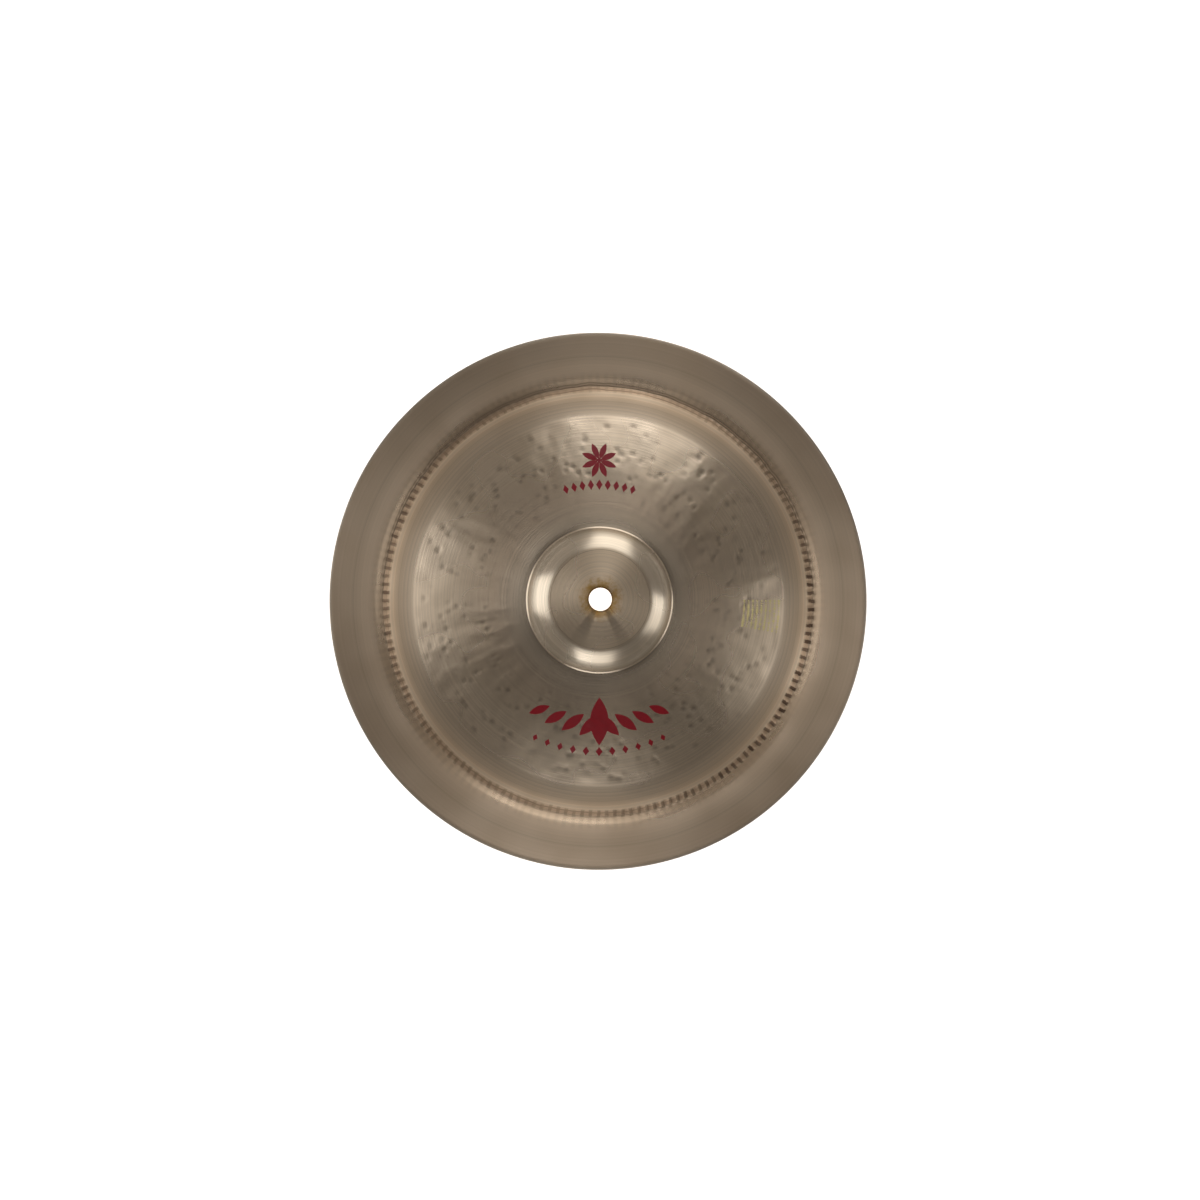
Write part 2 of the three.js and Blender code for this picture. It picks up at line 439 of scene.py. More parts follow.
def wrapped_place(tree, radius, outwards, across, along, seed):
    """Adds a pattern's coordinate that closes on itself round the axis, with cells across and along."""
    middle_radius = 88 * MM
    cells_round = add_node(tree, MATH, (middle_radius, across), operation="DIVIDE")
    around = add_node(tree, VECTOR_MATH, (outwards, cells_round), operation="SCALE")
    cells_out = add_node(tree, MATH, (radius, along), operation="DIVIDE")
    height = add_node(tree, MATH, (cells_out, seed), operation="ADD")
    upright = add_node(tree, COMBINE, {"Z": height})
    return add_node(tree, VECTOR_MATH, (around, upright), operation="ADD")


def crimp_strength(tree, turn):
    """Adds how hard each part of the ridge is crimped: most on the right and left, least at the back."""
    even, swing, to_right, from_back = 0.6, 0.33, 0.1, 0.12
    skew = math.radians(15)
    skewed = add_node(tree, MATH, (turn, skew), operation="ADD")
    doubled = add_node(tree, MATH, (skewed, 2.0), operation="MULTIPLY")
    sides = add_node(tree, MATH, (doubled,), operation="COSINE")
    both_sides = add_node(tree, MATH, (sides, swing, even), operation="MULTIPLY_ADD")
    right = add_node(tree, MATH, (turn,), operation="COSINE")
    more_right = add_node(tree, MATH, (right, to_right, both_sides), operation="MULTIPLY_ADD")
    back = add_node(tree, MATH, (turn,), operation="SINE")
    return add_node(tree, MATH, (back, -from_back, more_right), operation="MULTIPLY_ADD")


def new_geometry_tree(name, sockets):
    """An empty Geometry Nodes tree with named inputs; returns the tree, its input and its output node."""
    tree = bpy.data.node_groups.new(name, "GeometryNodeTree")
    for label, kind in sockets:
        tree.interface.new_socket(name=label, in_out="INPUT", socket_type=kind)
    tree.interface.new_socket(name="Geometry", in_out="OUTPUT", socket_type="NodeSocketGeometry")
    return tree, add_node(tree, "NodeGroupInput"), add_node(tree, "NodeGroupOutput")


def worked_mesh(name, mesh, tree, values):
    """Runs a Geometry Nodes tree on a mesh with its inputs set, and returns a plain mesh object."""
    blank = bpy.data.objects.new(name + "_blank", mesh)
    bpy.context.scene.collection.objects.link(blank)
    modifier = blank.modifiers.new("work", "NODES")
    modifier.node_group = tree
    for item in tree.interface.items_tree:
        if item.in_out == "INPUT" and item.name in values:
            modifier[item.identifier] = values[item.name]
    bpy.context.view_layer.update()
    depsgraph = bpy.context.evaluated_depsgraph_get()
    result = bpy.data.meshes.new_from_object(blank.evaluated_get(depsgraph), depsgraph=depsgraph)
    blank.modifiers.remove(modifier)
    bpy.data.objects.remove(blank)
    result.name = name
    piece = bpy.data.objects.new(name, result)
    bpy.context.scene.collection.objects.link(piece)
    return piece


def hammering_tree():
    """Crimps the ridge and hammers the bow of a turned disc, both faces alike, and stores the marks."""
    lengths = (
        "Crimp depth", "Crimp inner", "Crimp outer", "Bow inner", "Bow outer",
        "Mark spacing", "Mark depth", "Wave width", "Wave length", "Wave depth", "Seed",
    )
    tree, given, result = new_geometry_tree(
        "hammering",
        [
            ("Geometry", "NodeSocketGeometry"),
            ("Crimp count", "NodeSocketInt"),
            ("Material", "NodeSocketMaterial"),
            *((label, "NodeSocketFloat") for label in lengths),
        ],
    )
    value = given.outputs
    radius, turn, outwards = polar(tree, add_node(tree, "GeometryNodeInputPosition"))

    # Crimps: a wave in the inner wall of the groove
    soft = 1 * MM
    rise_end = add_node(tree, MATH, (value["Crimp inner"], soft), operation="ADD")
    rise = add_node(tree, RANGE, (radius, value["Crimp inner"], rise_end), interpolation_type="SMOOTHSTEP")
    fall_end = add_node(tree, MATH, (value["Crimp outer"], soft), operation="SUBTRACT")
    fall = add_node(tree, RANGE, (radius, value["Crimp outer"], fall_end), interpolation_type="SMOOTHSTEP")
    groove = add_node(tree, MATH, (rise, fall), operation="MULTIPLY")
    reach = add_node(tree, MATH, (groove, crimp_strength(tree, turn)), operation="MULTIPLY")
    phase = add_node(tree, MATH, (turn, value["Crimp count"]), operation="MULTIPLY")
    wave = add_node(tree, MATH, (phase,), operation="COSINE")
    crimped = add_node(tree, MATH, (wave, reach), operation="MULTIPLY")
    crimp_lift = add_node(tree, MATH, (crimped, value["Crimp depth"]), operation="MULTIPLY")

    # Hammered zone: from the bell outwards, harder and harder, to the bow's edge, where it fades
    easing, fading = 26 * MM, 4 * MM
    eased = add_node(tree, MATH, (value["Bow inner"], easing), operation="ADD")
    inside = add_node(tree, RANGE, (radius, value["Bow inner"], eased), interpolation_type="SMOOTHSTEP")
    faded = add_node(tree, MATH, (value["Bow outer"], fading), operation="SUBTRACT")
    outside = add_node(tree, RANGE, (radius, value["Bow outer"], faded), interpolation_type="SMOOTHSTEP")
    zone = add_node(tree, MATH, (inside, outside), operation="MULTIPLY")

    # Hammer marks: one oval dent in each cell of a pattern wrapped round the axis, each of its own depth
    oval, dent_rim, dent_floor = 1.3, 0.46, 0.1
    gentlest, hardest = 0.38, 0.62
    mark_length = add_node(tree, MATH, (value["Mark spacing"], oval), operation="DIVIDE")
    cell_place = wrapped_place(tree, radius, outwards, value["Mark spacing"], mark_length, value["Seed"])
    cells = add_node(
        tree,
        "ShaderNodeTexVoronoi",
        {"Vector": cell_place, "Scale": 1.0, "Randomness": 1.0, "Smoothness": 0.25},
        feature="SMOOTH_F1",
    )
    force = add_node(tree, NOISE, {"Vector": cell_place, "Scale": 0.5, "Detail": 0.0})
    own_depth = add_node(tree, RANGE, (force, gentlest, hardest))
    distance = cells.outputs["Distance"]
    dent = add_node(tree, RANGE, (distance, dent_rim, dent_floor), interpolation_type="SMOOTHSTEP")
    own_dent = add_node(tree, MATH, (dent, own_depth), operation="MULTIPLY")
    mark = add_node(tree, MATH, (own_dent, zone), operation="MULTIPLY")
    mark_drop = add_node(tree, MATH, (mark, value["Mark depth"]), operation="MULTIPLY")

    # Broad uneven patches that the hammering leaves in the bow
    width, along = value["Wave width"], value["Wave length"]
    patch_place = wrapped_place(tree, radius, outwards, width, along, value["Seed"])
    patch = add_node(tree, NOISE, {"Vector": patch_place, "Scale": 1.0, "Detail": 1.6, "Roughness": 0.42})
    uneven = add_node(tree, MATH, (patch, 0.5), operation="SUBTRACT")
    patch_lift = add_node(tree, MATH, (uneven, value["Wave depth"]), operation="MULTIPLY")

    zoned_lift = add_node(tree, MATH, (patch_lift, zone), operation="MULTIPLY")
    hammered = add_node(tree, MATH, (zoned_lift, mark_drop), operation="SUBTRACT")
    lift = add_node(tree, MATH, (hammered, crimp_lift), operation="ADD")
    offset = add_node(tree, COMBINE, {"Z": lift})
    kept = {"Geometry": value["Geometry"], "Name": "hammer", "Value": mark}
    named = add_node(tree, "GeometryNodeStoreNamedAttribute", kept)
    moved = add_node(tree, "GeometryNodeSetPosition", {"Geometry": named, "Offset": offset})
    realized = add_node(tree, "GeometryNodeRealizeInstances", {"Geometry": moved})
    dressed = add_node(tree, "GeometryNodeSetMaterial", {"Geometry": realized, "Material": value["Material"]})
    tree.links.new(dressed.outputs[0], result.inputs["Geometry"])
    return tree


def printed_row_tree():
    """A row of leaf or lozenge motifs set round a centre, laid down on the disc as a thin closed film."""
    tree, given, result = new_geometry_tree(
        "printed_row",
        [
            ("Geometry", "NodeSocketGeometry"),
            ("Count", "NodeSocketInt"),
            ("Centre", "NodeSocketVector"),
            ("Row radius", "NodeSocketFloat"),
            ("Middle angle", "NodeSocketFloat"),
            ("Step angle", "NodeSocketFloat"),
            ("Half length", "NodeSocketFloat"),
            ("Half width", "NodeSocketFloat"),
            ("Points along", "NodeSocketInt"),
            ("Points across", "NodeSocketInt"),
            ("Fullness", "NodeSocketFloat"),
            ("Lean", "NodeSocketFloat"),
            ("Taper", "NodeSocketFloat"),
            ("Jitter", "NodeSocketFloat"),
            ("Disc", "NodeSocketObject"),
            ("Film", "NodeSocketFloat"),
            ("Seed", "NodeSocketInt"),
            ("Material", "NodeSocketMaterial"),
        ],
    )
    value = given.outputs

    # Motif: a small grid pinched to a point at both ends, full as a leaf or straight as a lozenge
    grid = add_node(
        tree,
        "GeometryNodeMeshGrid",
        {
            "Size X": 2.0,
            "Size Y": 2.0,
            "Vertices X": value["Points along"],
            "Vertices Y": value["Points across"],
        },
    )
    place = add_node(tree, "GeometryNodeInputPosition")
    split = add_node(tree, SPLIT, (place,))
    along = add_node(tree, MATH, (split.outputs["X"],), operation="ABSOLUTE")
    bowed = add_node(tree, MATH, (along, value["Fullness"]), operation="POWER")
    pinch = add_node(tree, MATH, (1.0, bowed), operation="SUBTRACT")
    across = add_node(tree, MATH, (split.outputs["Y"], pinch), operation="MULTIPLY")
    long_side = add_node(tree, MATH, (split.outputs["X"], value["Half length"]), operation="MULTIPLY")
    wide_side = add_node(tree, MATH, (across, value["Half width"]), operation="MULTIPLY")
    shape = add_node(tree, COMBINE, (long_side, wide_side))
    motif = add_node(tree, "GeometryNodeSetPosition", {"Geometry": grid.outputs["Mesh"], "Position": shape})
    tip_reach = 0.02 * MM
    closed = add_node(tree, "GeometryNodeMergeByDistance", {"Geometry": motif, "Distance": tip_reach})

    # Row: points round the centre, each motif turned with its place, leaning both ways from the middle
    points = add_node(tree, "GeometryNodePoints", {"Count": value["Count"]})
    index = add_node(tree, "GeometryNodeInputIndex")
    less_one = add_node(tree, MATH, (value["Count"], 1.0), operation="SUBTRACT")
    middle = add_node(tree, MATH, (less_one, 0.5), operation="MULTIPLY")
    from_middle = add_node(tree, MATH, (index, middle), operation="SUBTRACT")
    turn = add_node(tree, MATH, (from_middle, value["Step angle"]), operation="MULTIPLY")
    bearing = add_node(tree, MATH, (turn, value["Middle angle"]), operation="ADD")
    cosine = add_node(tree, MATH, (bearing,), operation="COSINE")
    sine = add_node(tree, MATH, (bearing,), operation="SINE")
    spoke = add_node(tree, COMBINE, (cosine, sine))
    reach = add_node(tree, VECTOR_MATH, (spoke, value["Row radius"]), operation="SCALE")
    seat = add_node(tree, VECTOR_MATH, (reach, value["Centre"]), operation="ADD")
    row = add_node(tree, "GeometryNodeSetPosition", {"Geometry": points, "Position": seat})
    side = add_node(tree, MATH, (from_middle,), operation="SIGN")
    lean = add_node(tree, MATH, (side, value["Lean"]), operation="MULTIPLY")
    either_way = {"Min": -1.0, "Max": 1.0, "Seed": value["Seed"]}
    wobble = add_node(tree, "FunctionNodeRandomValue", either_way, data_type="FLOAT")
    shaken = add_node(tree, MATH, (wobble, value["Jitter"]), operation="MULTIPLY")
    leaning = add_node(tree, MATH, (bearing, lean), operation="ADD")
    heading = add_node(tree, MATH, (leaning, shaken), operation="ADD")
    rotation = add_node(tree, COMBINE, {"Z": heading})
    distance = add_node(tree, MATH, (from_middle,), operation="ABSOLUTE")
    lost = add_node(tree, MATH, (distance, value["Taper"]), operation="MULTIPLY")
    shaken_scale = add_node(tree, MATH, (shaken, 0.5), operation="MULTIPLY")
    full = add_node(tree, MATH, (1.0, shaken_scale), operation="ADD")
    scale = add_node(tree, MATH, (full, lost), operation="SUBTRACT")
    placed = add_node(
        tree,
        "GeometryNodeInstanceOnPoints",
        {"Points": row, "Instance": closed, "Rotation": rotation, "Scale": scale},
    )
    realized = add_node(tree, "GeometryNodeRealizeInstances", {"Geometry": placed})

    # Film: both skins follow the disc's face, found by looking straight down from above it
    target = add_node(tree, "GeometryNodeObjectInfo", {"Object": value["Disc"]}, transform_space="RELATIVE")
    spot = add_node(tree, "GeometryNodeInputPosition")
    above = 100 * MM
    from_above = add_node(tree, VECTOR_MATH, (spot, (0, 0, above)), operation="ADD")
    look = add_node(
        tree,
        "GeometryNodeRaycast",
        {
            "Target Geometry": target.outputs["Geometry"],
            "Source Position": from_above,
            "Ray Direction": (0, 0, -1),
            "Ray Length": 2 * above,
        },
    )
    laid = add_node(
        tree, "GeometryNodeSetPosition", {"Geometry": realized, "Position": look.outputs["Hit Position"]}
    )
    film_offset = add_node(tree, COMBINE, {"Z": value["Film"]})
    raised = {"Mesh": laid, "Offset": film_offset, "Individual": False}
    upper = add_node(tree, "GeometryNodeExtrudeMesh", raised)
    sunk_share = 0.3
    sunk = add_node(tree, VECTOR_MATH, (film_offset, -sunk_share), operation="SCALE")
    under = add_node(tree, "GeometryNodeFlipFaces", {"Mesh": laid})
    shell = add_node(tree, "GeometryNodeJoinGeometry")
    tree.links.new(upper.outputs["Mesh"], shell.inputs[0])
    tree.links.new(under.outputs[0], shell.inputs[0])
    seam_reach = 0.001 * MM
    whole = add_node(tree, "GeometryNodeMergeByDistance", {"Geometry": shell, "Distance": seam_reach})
    settled = add_node(tree, "GeometryNodeSetPosition", {"Geometry": whole, "Offset": sunk})
    dressed = add_node(tree, "GeometryNodeSetMaterial", {"Geometry": settled, "Material": value["Material"]})
    tree.links.new(dressed.outputs[0], result.inputs["Geometry"])
    return tree


def radial_ramp(tree, radius, outer_radius, stops):
    """Adds a colour that changes with the radius; each stop is a radius and an sRGB hex colour."""
    share = add_node(tree, MATH, (radius, outer_radius), operation="DIVIDE")
    ramp = add_node(tree, "ShaderNodeValToRGB", (share,))
    elements = ramp.color_ramp.elements
    while len(elements) < len(stops):
        elements.new(0.5)
    for element, (stop_radius, hex_colour) in zip(elements, stops):
        element.position = stop_radius / outer_radius
        element.color = linear(hex_colour)
    return ramp.outputs["Color"]


def zone_tints_and_painted_light(radii):
    """What each zone keeps of the bronze's colour, by radius from the bell out; the bell's foot and the rim
    get painted light.
    """
    return [
        (radii["crown"], "#FFFBF5"),
        (radii["shoulder"], "#F3F6F8"),
        ((radii["shoulder"] + radii["bell"]) / 2, "#F3F6F8"),
        # Painted shade darkens the bell's wall towards its foot, then a painted highlight makes a thin bright
        # line on the foot's bend
        (radii["bell"] - 2.2 * MM, "#C5C9CB"),
        (radii["bell"], "#B2B5B6"),
        (radii["bell"] + 0.4 * MM, "#FFFFFF"),
        (radii["foot"], "#DADADA"),
        (radii["apron"], "#E4E3E2"),
        (radii["apron"] + 14 * MM, "#F8F4F1"),
        (radii["bow"] - 16 * MM, "#FDFCFA"),
        (radii["bow"], "#F4F2F0"),
        (radii["band"], "#EAE3DB"),
        (radii["ridge"] - 2.2 * MM, "#F2E9DF"),
        (radii["ridge"] - 0.6 * MM, "#FFFAF3"),
        (radii["lip"] + 1 * MM, "#DDD6D0"),
        (radii["fold"] + 1 * MM, "#F0E7DE"),
        (radii["outer_wall"], "#F6EEE6"),
        (radii["flange_foot"], "#FCF5EF"),
        (radii["flange_bend"] + 4 * MM, "#E0DAD4"),
        (radii["rim"] - 1.2 * MM, "#D9D3CE"),
        # Painted reflection: a thin cool grey line along the rim's rounded edge
        (radii["rim"] - 0.5 * MM, "#E4EAF2"),
    ]


def zone_roughness(radii):
    """Roughness by zone, each as the sRGB grey whose linear value it is.

    The bell and bow are smooth from the lathe, the groove is rough, and the flange lies between."""
    return [
        (radii["shoulder"], "#8F8F8F"),
        (radii["bell"], "#8D8D8D"),
        (radii["apron"], "#858585"),
        (radii["apron"] + 22 * MM, "#878787"),
        (radii["bow"], "#8E8E8E"),
        (radii["band"], "#A6A6A6"),
        (radii["ridge"], "#C0C0C0"),
        (radii["inner_wall"], "#C8C8C8"),
        (radii["fold"] + 1 * MM, "#8E8E8E"),
        (radii["outer_wall"], "#8E8E8E"),
        (radii["flange_bend"], "#A0A0A0"),
        (radii["rim"], "#A5A5A5"),
    ]


def lathe_rings(tree, finish, radii, place, radius):
    """Adds the height of the lathe rings and the tint of each: coarse passes of the tool over its fine feed.

    The coarse rings are fainter where the bow was hammered, and from the groove outwards all are worn."""
    turned_height, hammered_height, fine_height, worn_share = 0.5, 0.2, 0.2, 0.4
    darker, lighter = -0.07, 0.06
    stray = add_node(tree, NOISE, {"Vector": place, "Scale": 1 / finish.stray_size, "Detail": 1.0})
    track = add_node(tree, MATH, (stray, finish.ring_stray, radius), operation="MULTIPLY_ADD")
    coarse_turns = add_node(tree, MATH, (track, finish.coarse_pass), operation="DIVIDE")
    coarse = add_node(tree, NOISE, {"W": coarse_turns, "Scale": 1.0, "Detail": 1.0}, noise_dimensions="1D")
    fine_turns = add_node(tree, MATH, (track, finish.fine_feed), operation="DIVIDE")
    fine = add_node(tree, NOISE, {"W": fine_turns, "Scale": 1.0, "Detail": 0.0}, noise_dimensions="1D")
    beaten = add_node(tree, RANGE, (radius, radii["apron"] + 4 * MM, radii["apron"] + 22 * MM))
    lathed_again = add_node(tree, RANGE, (radius, radii["bow"] - 4 * MM, radii["bow"]))
    hammered = add_node(tree, MATH, (beaten, lathed_again), operation="SUBTRACT")
    height = add_node(tree, RANGE, (hammered, 0.0, 1.0, turned_height, hammered_height))
    worn = add_node(tree, RANGE, (radius, radii["lip"], radii["outer_wall"], 1.0, worn_share))
    coarse_rings = add_node(tree, MATH, (coarse, height), operation="MULTIPLY")
    fine_rings = add_node(tree, MATH, (fine, fine_height), operation="MULTIPLY")
    rings = add_node(tree, MATH, (coarse_rings, worn, fine_rings), operation="MULTIPLY_ADD")
    both = add_node(tree, MATH, (fine, coarse), operation="ADD")
    streaks = add_node(tree, RANGE, (both, 0.7, 1.3, darker, lighter))
    streaked = add_node(tree, MATH, (streaks, worn, 1.0), operation="MULTIPLY_ADD")
    return rings, streaked


def painted_shade_wedges(tree, radii, radius, turn):
    """Adds two dark wedges of painted shade, the seams between reflections on the bell's top, from the hole
    down to the shoulder, fainter as they go.
    """
    faint, dark = 0.1, 0.42
    wedges = 0.0
    for azimuth, half_width in ((241, 13), (300, 11)):
        aside = add_node(tree, MATH, (turn, math.radians(azimuth)), operation="SUBTRACT")
        facing = add_node(tree, MATH, (aside,), operation="COSINE")
        edge = math.cos(math.radians(half_width))
        wedge = add_node(tree, RANGE, (facing, edge, 1.0), interpolation_type="SMOOTHSTEP")
        wedges = add_node(tree, MATH, (wedge, wedges), operation="ADD")
    ends = (radius, radii["crown"], radii["seat"], faint, dark)
    fading = add_node(tree, RANGE, ends, interpolation_type="SMOOTHSTEP")
    within = add_node(tree, RANGE, (radius, radii["shoulder"], radii["crown"]))
    faded = add_node(tree, MATH, (wedges, fading), operation="MULTIPLY")
    return add_node(tree, MATH, (faded, within), operation="MULTIPLY")


def painted_shade_and_dark_lines(tree, finish, radii, place, radius, turn, uncrimped):
    """Adds painted shade and dark lines: dark wedges down the bell's top, painted shade at the bell's
    shoulder, at its foot and round the hole's edge, and dark lines by the groove and across the flange.

    The lines by the groove bend in and out, those outside its fold are darkest at the back, and a wide
    dark band lies over the fold at the back left."""
    front_end, back_end, front_share = -0.15, 0.4, 0.15
    back = add_node(tree, MATH, (turn,), operation="SINE")
    at_back = add_node(tree, RANGE, (back, front_end, back_end, front_share, 1.0))
    dark_band_azimuth, dark_band_half_width = math.radians(122), math.radians(30)
    aside = add_node(tree, MATH, (turn, dark_band_azimuth), operation="SUBTRACT")
    back_left = add_node(tree, MATH, (aside,), operation="COSINE")
    dark_band_window = (back_left, math.cos(dark_band_half_width), 1.0)
    in_dark_band = add_node(tree, RANGE, dark_band_window, interpolation_type="SMOOTHSTEP")
    bend = add_node(tree, NOISE, {"Vector": place, "Scale": 1 / finish.bend_size, "Detail": 2.0})
    least = add_node(tree, MATH, (radius, finish.bend_reach / 2), operation="SUBTRACT")
    bent = add_node(tree, MATH, (bend, finish.bend_reach, least), operation="MULTIPLY_ADD")

    # Each line: the course it is measured on, its middle and half width, how dark it is, and where it shows
    corners = (
        # Painted shade: the lines at the bell's shoulder, at its foot and round the hole's edge; the others
        # are dark lines by the groove and on the flange
        (radius, radii["crown"], 0.5 * MM, 0.3, 1.0),
        (radius, radii["foot"] + 0.2 * MM, 0.7 * MM, 0.36, 1.0),
        (bent, radii["lip"] + 0.8 * MM, 0.5 * MM, 0.6, uncrimped),
        (bent, radii["fold"] + 0.1 * MM, 0.6 * MM, 0.6, at_back),
        (bent, radii["fold"] + 1.4 * MM, 0.8 * MM, 0.4, at_back),
        (bent, radii["fold"], 3.6 * MM, 0.42, in_dark_band),
        (radius, radii["rim"] - 13.4 * MM, 0.6 * MM, 0.1, 1.0),
        (radius, radii["seat"] - 4.4 * MM, 0.9 * MM, 0.75, 1.0),
    )
    lines = painted_shade_wedges(tree, radii, radius, turn)
    for course, middle, half_width, darkness, where in corners:
        past = add_node(tree, MATH, (course, middle), operation="SUBTRACT")
        off = add_node(tree, MATH, (past,), operation="ABSOLUTE")
        line = add_node(tree, RANGE, (off, half_width, 0.0, 0.0, darkness), interpolation_type="SMOOTHSTEP")
        shown = add_node(tree, MATH, (line, where), operation="MULTIPLY")
        lines = add_node(tree, MATH, (lines, shown), operation="MAXIMUM")
    return lines


def crimp_oxide_and_shadows(tree, finish, radii, crimp_count, place, radius, turn, strength, uncrimped):
    """Adds the oxide of the crimps, a torn block in the hollow of each, and painted shadows of the crimps
    outside the fold.

    Each crimp draws three lots: how far its block slants, how far it is shifted and how dark it is."""
    most_slant, tearing, tick_shadow_darkness = 0.35 / MM, 1.5, 0.15
    palest, darker = 0.7, 0.4
    counted = add_node(tree, MATH, (turn, crimp_count), operation="MULTIPLY")
    turned = add_node(tree, MATH, (counted, 2 * math.pi), operation="DIVIDE")
    number = add_node(tree, MATH, (turned,), operation="ROUND")
    chance = add_node(tree, "ShaderNodeTexWhiteNoise", {"W": number}, noise_dimensions="1D")
    lots = add_node(tree, SPLIT, (chance.outputs["Color"],)).outputs
    own = add_node(tree, MATH, (lots["Z"], darker, palest), operation="MULTIPLY_ADD")
    shifted = add_node(tree, MATH, (lots["Y"], finish.oxide_shift, radius), operation="MULTIPLY_ADD")
    either_way = add_node(tree, MATH, (lots["X"], 0.5), operation="SUBTRACT")
    slant = add_node(tree, MATH, (either_way, most_slant), operation="MULTIPLY")
    past_wall = add_node(tree, MATH, (radius, radii["inner_wall"]), operation="SUBTRACT")
    slanted = add_node(tree, MATH, (past_wall, slant), operation="MULTIPLY")
    phase = add_node(tree, MATH, (turn, crimp_count, slanted), operation="MULTIPLY_ADD")
    wave = add_node(tree, MATH, (phase,), operation="COSINE")

    # Blocks on the inner wall of the groove, where the ridge is crimped hard
    torn = add_node(tree, NOISE, {"Vector": place, "Scale": 1 / finish.tear_size, "Detail": 2.0})
    frayed = add_node(tree, MATH, (torn, tearing, wave), operation="MULTIPLY_ADD")
    block = add_node(tree, RANGE, (frayed, 0.6, 1.35), interpolation_type="SMOOTHSTEP")
    starts = (shifted, radii["lip"] - 0.6 * MM, radii["lip"] + 0.6 * MM)
    block_start = add_node(tree, RANGE, starts, interpolation_type="SMOOTHSTEP")
    ends = (shifted, radii["fold"] + 1.5 * MM, radii["fold"] + 0.5 * MM)
    block_end = add_node(tree, RANGE, ends, interpolation_type="SMOOTHSTEP")
    wall = add_node(tree, MATH, (block_start, block_end), operation="MULTIPLY")
    crimped_wall = add_node(tree, MATH, (wall, strength), operation="MULTIPLY")
    own_block = add_node(tree, MATH, (block, own), operation="MULTIPLY")
    blocks = add_node(tree, MATH, (own_block, crimped_wall), operation="MULTIPLY")

    # Painted shadows of the crimps: faint ticks on the outer wall, most where the crimps are weak
    spread = add_node(tree, RANGE, (uncrimped, -0.1, 0.6, 0.3, 1.0))
    starts = (shifted, radii["fold"] + 1.2 * MM, radii["fold"] + 2.4 * MM)
    tick_start = add_node(tree, RANGE, starts, interpolation_type="SMOOTHSTEP")
    ends = (shifted, radii["flange_foot"] + 3.5 * MM, radii["outer_wall"])
    tick_end = add_node(tree, RANGE, ends, interpolation_type="SMOOTHSTEP")
    outer_wall = add_node(tree, MATH, (tick_start, tick_end), operation="MULTIPLY")
    ticked_wall = add_node(tree, MATH, (outer_wall, spread), operation="MULTIPLY")
    tick = add_node(tree, RANGE, (wave, -0.6, 0.9), interpolation_type="SMOOTHSTEP")
    own_tick = add_node(tree, MATH, (tick, own), operation="MULTIPLY")
    tick_shadows = add_node(tree, MATH, (own_tick, ticked_wall), operation="MULTIPLY")
    return add_node(tree, MATH, (tick_shadows, tick_shadow_darkness, blocks), operation="MULTIPLY_ADD")


